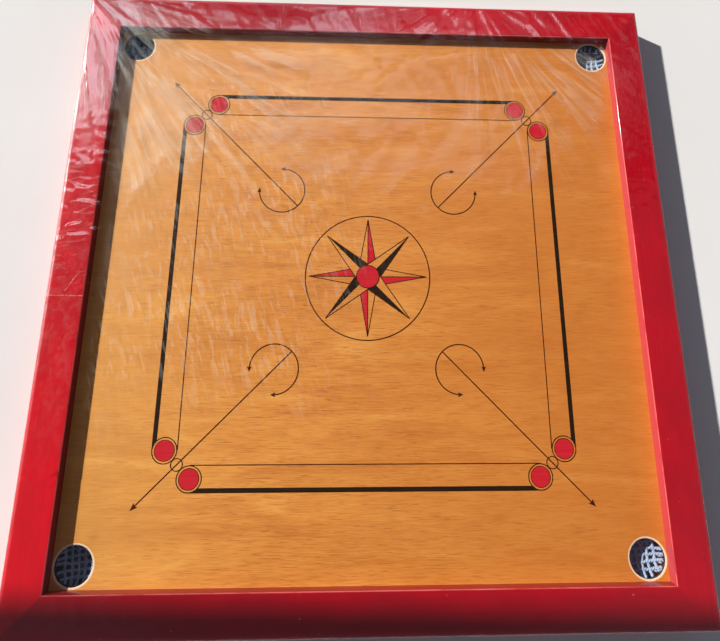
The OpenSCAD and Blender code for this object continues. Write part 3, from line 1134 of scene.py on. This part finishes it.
def film_heights(x, y):
    """Heights of the film's top over arrays of places."""
    rng = np.random.default_rng(8)
    reach = np.maximum(np.abs(x), np.abs(y))
    inward = np.clip((HALF_PLAY - reach) / FILM_SLOPE, 0, 1)
    over_field = inward * inward * (3 - 2 * inward)
    over_rail = 1 - over_field
    sag = FILM_SAG * over_field * (1 + 0.25 * value_noise(rng, x, y, 0.21, 0.17))
    slow = 1.2 * MM * value_noise(rng, x, y, 0.080, 0.050, 0.5)
    quick = (1.25 * MM * value_noise(rng, x, y, 0.044, 0.024, 1.1)
             + 0.28 * MM * value_noise(rng, x, y, 0.020, 0.012, 0.9))
    facets = (0.42 * MM * np.abs(value_noise(rng, x, y, 0.040, 0.021, 0.4))
              + 0.14 * MM * np.abs(value_noise(rng, x, y, 0.013, 0.009, -0.5)))
    near_back = np.clip((y - 0.26) / 0.10, 0, 1)
    pleats = near_back * (0.50 * MM * value_noise(rng, x, y, 0.0085, 0.085, 0.5)
                          + 0.50 * MM * value_noise(rng, x, y, 0.017, 0.120, 0.62))
    corner = fan(rng, x, y, CORNER_GATHER, 0.56, 1.5 * MM)
    gather = fan(rng, x, y, BACK_GATHER, 0.36, 1.3 * MM)
    raised = (RAIL_TOP + FILM_FLOAT - sag + (slow + quick) * over_field + facets * over_rail
              + pleats + corner + gather + film_folds(x, y))
    ceiling = RAIL_TOP + FILM_FLOAT + FILM_ROOF
    soft = 0.25 * MM
    raised = ceiling - soft * np.log1p(np.exp((ceiling - raised) / soft))
    floor = np.where(reach > HALF_PLAY - 4 * MM, RAIL_TOP + 0.22 * MM, RAIL_TOP - 0.012)
    return floor + soft * np.log1p(np.exp((raised - floor) / soft))


def make_film(material):
    """One sheet pulled over the board, folded down its four sides."""
    half = FILM_HIGH.x - 0.2 * MM
    inner = half - FILM_ROUND_R
    count = int(2 * inner / FILM_STEP)
    places = np.linspace(-inner, inner, count + 1)
    x, y = np.meshgrid(places, places)
    z = film_heights(x, y)
    bm = bmesh.new()
    grid = [[bm.verts.new(place) for place in zip(*row)] for row in zip(x, y, z)]
    for one, two in zip(grid, grid[1:]):
        for n in range(count):
            bm.faces.new((one[n], one[n + 1], two[n + 1], two[n]))
    ring = (grid[0][:-1] + [row[-1] for row in grid[:-1]]
            + grid[-1][:0:-1] + [row[0] for row in grid[:0:-1]])
    skirt = [(RAIL_TOP + FILM_FLOAT - FILM_ROUND_R * (1 - math.cos(a)),
              FILM_ROUND_R * math.sin(a)) for a in map(math.radians, (22, 45, 68, 90))]
    skirt += [(level * MM, FILM_ROUND_R) for level in (37, 33, 29, 25, 21, 17, 13, 9, 5.5)]
    skirt += [(FILM_LOW.z + FILM_T, FILM_ROUND_R)]
    previous = ring
    for level, out in skirt:
        current = [bm.verts.new(skirt_place(vert.co, inner, out, level)) for vert in ring]
        bridge(bm, previous, current)
        previous = current
    film = new_object("packing_film_sheet", bm, material, "clear_film", FILM_BODY, smooth=True)
    thick = film.modifiers.new("thickness", "SOLIDIFY")
    thick.thickness = FILM_T
    thick.offset = 0
    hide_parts("packing_film")


def skirt_place(top, inner, out, level):
    """A point of the film's side: straight out from its border point, with upright pleats."""
    away = Vector([math.copysign(abs(at) > inner - 1e-6, at) for at in top.xy] + [0]).normalized()
    pleat = noise.noise(Vector((top.x * 45, top.y * 45, level * 14)))
    nick = noise.noise(Vector((top.x * 170, top.y * 170, level * 90)))
    fall = min(max((RAIL_TOP - level) / 0.02, 0.0), 1.0)
    place = top + away * (out * (0.95 + 0.1 * nick) + 0.22 * MM * pleat * fall)
    place.z = level + 0.35 * MM * nick * (level > 0.035)
    return place


# ---- carried-over CAD nodes ----

def paint_cad_nodes():
    """Materials for the nodes that stay as the CAD has them."""
    dark, light = (0.36, 0.21, 0.10), (0.58, 0.39, 0.21)
    ply = bare_wood("spline_ply", "x", (0.55, 0.38, 0.22), (0.74, 0.56, 0.36))
    for material, names in (
            (wire_steel(), ("panel_nails", "batten_screws", "net_tacks")),
            (bare_wood("batten_wood_x", "x", dark, light), ("batten_front", "batten_back")),
            (bare_wood("batten_wood_y", "y", dark, light), ("batten_left", "batten_right")),
            (ply, ["spline_" + corner for corner in CORNERS]),
            (canvas_tape(), ["hem_" + corner for corner in CORNERS])):
        for name in names:
            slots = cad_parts[name].data.materials
            slots.clear()
            slots.append(material)


# ---- scene ----

make_camera()
make_key()
make_reflector()
make_flag()
make_world()
make_floor()
paint_cad_nodes()
# each rail gets its red depth and its inner face's painted light and shade
for number, (side_name, (stain, inner_shading_red)) in enumerate(zip(SIDES, RED_DEPTHS_AND_FACE_SHADING)):
    make_rail(side_name, number, red_lacquer(side_name, "xy"[number % 2], stain, inner_shading_red))
make_panel(varnished_panel())
make_markings()
cord_material = net_cord()
for number, corner_name in enumerate(CORNERS):
    make_net(corner_name, number, cord_material)
make_film(clear_film())
